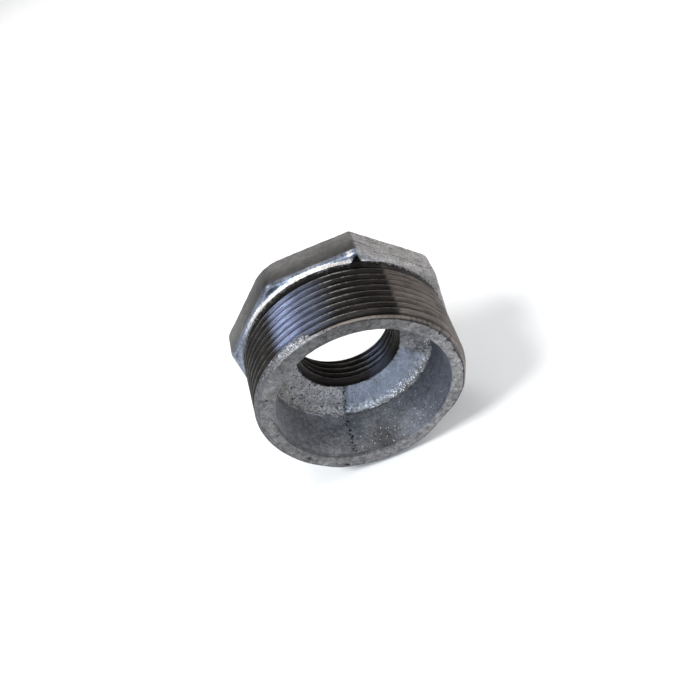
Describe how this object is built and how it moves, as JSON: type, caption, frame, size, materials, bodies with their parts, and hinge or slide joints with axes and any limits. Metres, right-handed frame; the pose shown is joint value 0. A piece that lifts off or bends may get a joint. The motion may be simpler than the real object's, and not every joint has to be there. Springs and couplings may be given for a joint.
{
  "type": "octagon head reducing bushing",
  "caption": "One-piece galvanised iron pipe bushing: octagon wrench head with a tapered female thread, and a larger tapered male thread around a hollow end.",
  "frame": {"origin": "on the pipe axis, in the plane of the head's outer face, at the mouth of the female thread", "axes": "+Y along the pipe axis, out of the female thread's mouth; the male end points to -Y; the head's flats face +X, -X, +Z and -Z and the four directions between; the part rests on the flat that faces -Z"},
  "size_m": [0.062, 0.031, 0.062],
  "materials": {
    "galvanised_iron": "hot-dip galvanised casting, dull mottled grey, with dark bare machined threads"
  },
  "bodies": {
    "root": {"octagon_bushing": "galvanised_iron"}
  },
  "joints": []
}
